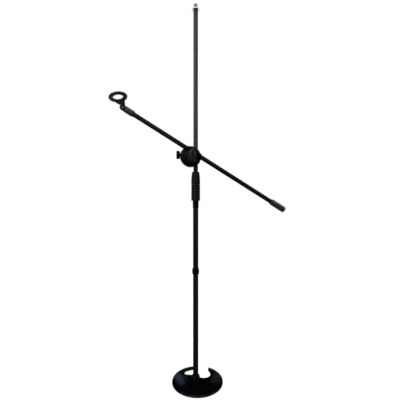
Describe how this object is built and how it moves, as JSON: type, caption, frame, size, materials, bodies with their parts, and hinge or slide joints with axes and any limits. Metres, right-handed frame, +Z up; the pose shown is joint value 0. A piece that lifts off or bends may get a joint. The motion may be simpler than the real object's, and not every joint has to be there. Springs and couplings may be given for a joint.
{
  "type": "boom microphone stand",
  "caption": "Floor microphone stand with a slotted round cast base, a telescoping pole with a twist clutch, and a counterweighted boom in a cross clamp, ending in a ring-shaped microphone clip.",
  "frame": {"origin": "where the pole's axis meets the floor, on the underside of the hub's rubber foot", "axes": "+Z up along the pole, +X to the right and +Y away from the viewer of the picture"},
  "size_m": [0.7044, 0.2706, 1.5698],
  "materials": {
    "base_coat": "finely textured black coat",
    "tube_coat": "smooth black powder coat",
    "satin_coat": "satin black coat",
    "nylon": "moulded black nylon",
    "rubber": "moulded black rubber",
    "chrome": "bright chrome plate",
    "steel": "zinc plate",
    "brass": "turned brass",
    "fibre": "pressed fibre"
  },
  "bodies": {
    "base": {"base_casting": "base_coat", "hub_foot": "rubber", "rim_foot_1": "rubber", "rim_foot_2": "rubber", "rim_foot_3": "rubber", "rim_foot_4": "rubber", "hub_stud": "steel", "hub_washer": "steel", "tube_plug": "steel", "lower_tube_bottom": "tube_coat", "coupling_sleeve": "nylon", "lower_tube_top": "tube_coat", "clutch_ferrule": "nylon", "clutch_collet": "nylon"},
    "grip": {"clutch_nut": "nylon", "clutch_grip": "rubber"},
    "mast": {"upper_tube": "satin_coat", "mast_bush": "nylon", "thread_insert": "chrome"},
    "liner": {"clamp_liner": "nylon"},
    "pole_clamp": {"pole_clamp": "nylon", "swivel_stud": "steel", "friction_washer": "fibre"},
    "pole_screw": {"pole_knob": "nylon", "pole_screw": "steel", "pressure_pad": "brass"},
    "boom_clamp": {"boom_clamp_wheel": "nylon", "boom_clamp_cap": "nylon"},
    "clamp_knob": {"clamp_knob": "nylon", "clamp_nut": "brass", "knob_washer": "steel"},
    "boom": {"boom_tube": "tube_coat", "boom_stud": "steel", "counterweight_core": "steel", "counterweight_sleeve": "rubber", "boom_end_plug": "nylon"},
    "adapter": {"clip_adapter": "nylon", "adapter_insert": "brass", "clip_pin": "chrome", "pin_nut": "steel"},
    "clip": {"mic_clip": "nylon"}
  },
  "joints": [
    {"name": "grip_twist", "type": "hinge", "parent": "base", "child": "grip", "pos_m": [0, 0, 0.8], "axis": [0, 0, 1], "range_deg": [0, 360]},
    {"name": "mast_slide", "type": "slide", "parent": "base", "child": "mast", "axis": [0, 0, 1], "range_m": [-0.02, 0.12]},
    {"name": "clamp_slide", "type": "slide", "parent": "mast", "child": "liner", "axis": [0, 0, 1], "range_m": [0, 0.5]},
    {"name": "clamp_swivel", "type": "hinge", "parent": "liner", "child": "pole_clamp", "pos_m": [0, 0, 0.9314], "axis": [0, 0, 1], "range_deg": [-180, 180]},
    {"name": "pole_screw_turn", "type": "hinge", "parent": "pole_clamp", "child": "pole_screw", "pos_m": [0, 0, 0.9408], "axis": [-0.9763, -0.2164, 0], "range_deg": [0, 360]},
    {"name": "boom_tilt", "type": "hinge", "parent": "pole_clamp", "child": "boom_clamp", "pos_m": [-0.02616, -0.0058, 0.9314], "axis": [0.2164, -0.9763, 0], "range_deg": [-25, 60]},
    {"name": "knob_turn", "type": "hinge", "parent": "boom_clamp", "child": "clamp_knob", "pos_m": [-0.02616, -0.0058, 0.9314], "axis": [0.2164, -0.9763, 0], "range_deg": [0, 360]},
    {"name": "boom_slide", "type": "slide", "parent": "boom_clamp", "child": "boom", "axis": [-0.8412, -0.1865, 0.5075], "range_m": [-0.12, 0.25]},
    {"name": "adapter_turn", "type": "hinge", "parent": "boom", "child": "adapter", "pos_m": [-0.23613, -0.09301, 1.08451], "axis": [-0.8412, -0.1865, 0.5075], "range_deg": [-90, 90]},
    {"name": "clip_tilt", "type": "hinge", "parent": "adapter", "child": "clip", "pos_m": [-0.27584, -0.10182, 1.10846], "axis": [0.0743, -0.9696, -0.2332], "range_deg": [-35, 70]}
  ]
}
